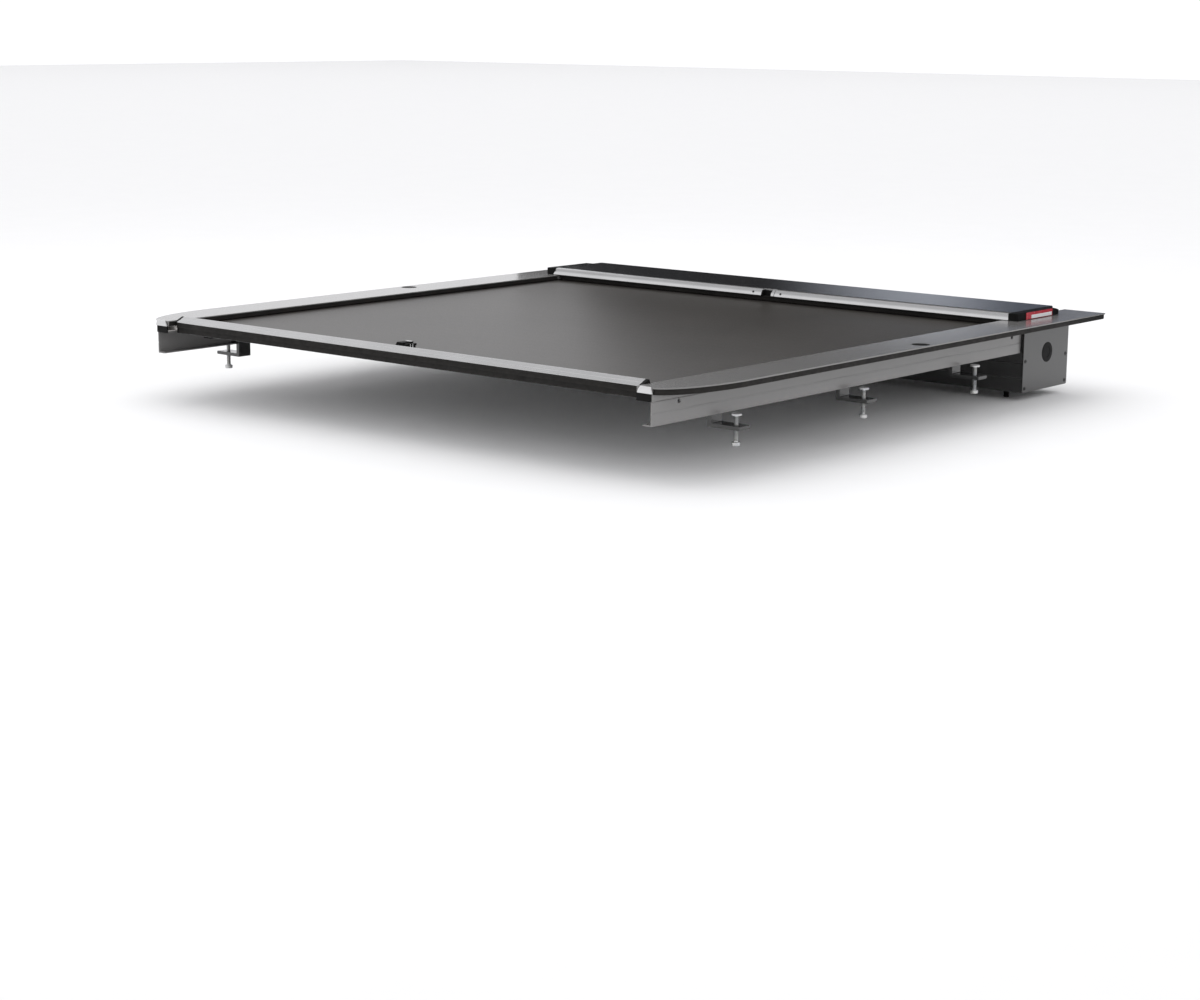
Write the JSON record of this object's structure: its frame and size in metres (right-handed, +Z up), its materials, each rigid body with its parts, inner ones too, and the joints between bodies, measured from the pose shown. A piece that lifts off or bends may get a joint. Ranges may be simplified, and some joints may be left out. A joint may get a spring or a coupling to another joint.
{
  "type": "retractable tonneau cover",
  "caption": "Roll-up pickup bed cover: vinyl-skinned slat deck sliding in two side rails, wound on a sprung roller in a canister at the cab end, with a key-locked leading bar.",
  "frame": {"origin": "on the centre line, 12 mm behind the rear faces of the rails' end caps, on the plane where the flange seals rest on the bed", "axes": "+X to the truck's right, +Y along the bed towards the cab, +Z up"},
  "size_m": [1.624, 1.653, 0.211],
  "materials": {
    "black_aluminium": "black powder coat, satin",
    "satin_aluminium": "satin anodised",
    "black_plastic": "moulded, fine grain",
    "grey_plastic": "moulded, satin",
    "rubber": "extruded rubber, matte",
    "vinyl": "grained vinyl, matte",
    "steel": "zinc plated",
    "nylon": "plain nylon",
    "badge_red": "gloss"
  },
  "bodies": {
    "root": {"left_rail": "black_aluminium", "left_track_liner": "nylon", "left_flange_seal": "rubber", "left_rail_end_cap": "grey_plastic", "left_flange_plug": "black_plastic", "left_clamp_1": "black_aluminium", "left_clamp_2": "black_aluminium", "left_clamp_3": "black_aluminium", "left_canister_end_plate": "black_aluminium", "left_axle_block": "black_plastic", "left_drain_spigot": "black_plastic", "left_lid_end_cap": "black_plastic", "right_rail": "black_aluminium", "right_track_liner": "nylon", "right_flange_seal": "rubber", "right_rail_end_cap": "grey_plastic", "right_flange_plug": "black_plastic", "right_clamp_1": "black_aluminium", "right_clamp_2": "black_aluminium", "right_clamp_3": "black_aluminium", "right_canister_end_plate": "black_aluminium", "right_axle_block": "black_plastic", "right_drain_spigot": "black_plastic", "right_lid_end_cap": "black_plastic", "slat_deck": "satin_aluminium", "vinyl_skin": "vinyl", "canister_shell": "black_aluminium", "canister_lid": "black_aluminium", "lid_front_lip": "satin_aluminium", "latch_keeper": "black_plastic", "keeper_cheek": "satin_aluminium", "mouth_wiper": "rubber", "lid_badge_plate": "badge_red", "roller_axle": "steel"},
    "bar": {"leading_bar": "satin_aluminium", "tailgate_seal": "rubber", "latch_pod": "black_plastic", "left_bar_end_cap": "black_plastic", "left_slide_shoe": "nylon", "left_rod_guide": "black_plastic", "right_bar_end_cap": "black_plastic", "right_slide_shoe": "nylon", "right_rod_guide": "black_plastic"},
    "catch": {"hold_open_catch": "black_plastic"},
    "lock": {"key_barrel": "steel", "lock_cam": "steel"},
    "left_rod": {"left_lock_rod": "steel"},
    "right_rod": {"right_lock_rod": "steel"},
    "roller": {"roller_tube": "satin_aluminium", "wound_deck": "vinyl", "torsion_spring": "steel", "left_roller_hub": "nylon", "right_roller_hub": "nylon"},
    "left_screw_1": {"left_clamp_screw_1": "steel"},
    "left_screw_2": {"left_clamp_screw_2": "steel"},
    "left_screw_3": {"left_clamp_screw_3": "steel"},
    "right_screw_1": {"right_clamp_screw_1": "steel"},
    "right_screw_2": {"right_clamp_screw_2": "steel"},
    "right_screw_3": {"right_clamp_screw_3": "steel"}
  },
  "joints": [
    {"name": "cover_slide", "type": "slide", "parent": "root", "child": "bar", "axis": [0, 1, 0], "range_m": [0, 1.255], "deforming": ["slat_deck", "vinyl_skin"]},
    {"name": "roller_spin", "type": "hinge", "parent": "root", "child": "roller", "pos_m": [0, 1.51, -0.07], "axis": [-1, 0, 0], "range_deg": [0, 1400]},
    {"name": "key_turn", "type": "hinge", "parent": "bar", "child": "lock", "pos_m": [-0.0135, 0.1, 0], "axis": [0, 0, 1], "range_deg": [0, 90]},
    {"name": "left_rod_slide", "type": "slide", "parent": "bar", "child": "left_rod", "axis": [-1, 0, 0], "range_m": [0, 0.012]},
    {"name": "right_rod_slide", "type": "slide", "parent": "bar", "child": "right_rod", "axis": [1, 0, 0], "range_m": [0, 0.012]},
    {"name": "catch_slide", "type": "slide", "parent": "bar", "child": "catch", "axis": [0, 1, 0], "range_m": [0, 0.012]},
    {"name": "left_screw_1_travel", "type": "slide", "parent": "root", "child": "left_screw_1", "axis": [0, 0, -1], "range_m": [0, 0.018]},
    {"name": "left_screw_2_travel", "type": "slide", "parent": "root", "child": "left_screw_2", "axis": [0, 0, -1], "range_m": [0, 0.018]},
    {"name": "left_screw_3_travel", "type": "slide", "parent": "root", "child": "left_screw_3", "axis": [0, 0, -1], "range_m": [0, 0.018]},
    {"name": "right_screw_1_travel", "type": "slide", "parent": "root", "child": "right_screw_1", "axis": [0, 0, -1], "range_m": [0, 0.018]},
    {"name": "right_screw_2_travel", "type": "slide", "parent": "root", "child": "right_screw_2", "axis": [0, 0, -1], "range_m": [0, 0.018]},
    {"name": "right_screw_3_travel", "type": "slide", "parent": "root", "child": "right_screw_3", "axis": [0, 0, -1], "range_m": [0, 0.018]}
  ],
  "couplings": [
    {"joint": "roller_spin", "follows": "cover_slide", "rad_per_m": 19.1},
    {"joint": "key_turn", "follows": "left_rod_slide", "rad_per_m": 130.9},
    {"joint": "right_rod_slide", "follows": "left_rod_slide", "ratio": 1}
  ]
}
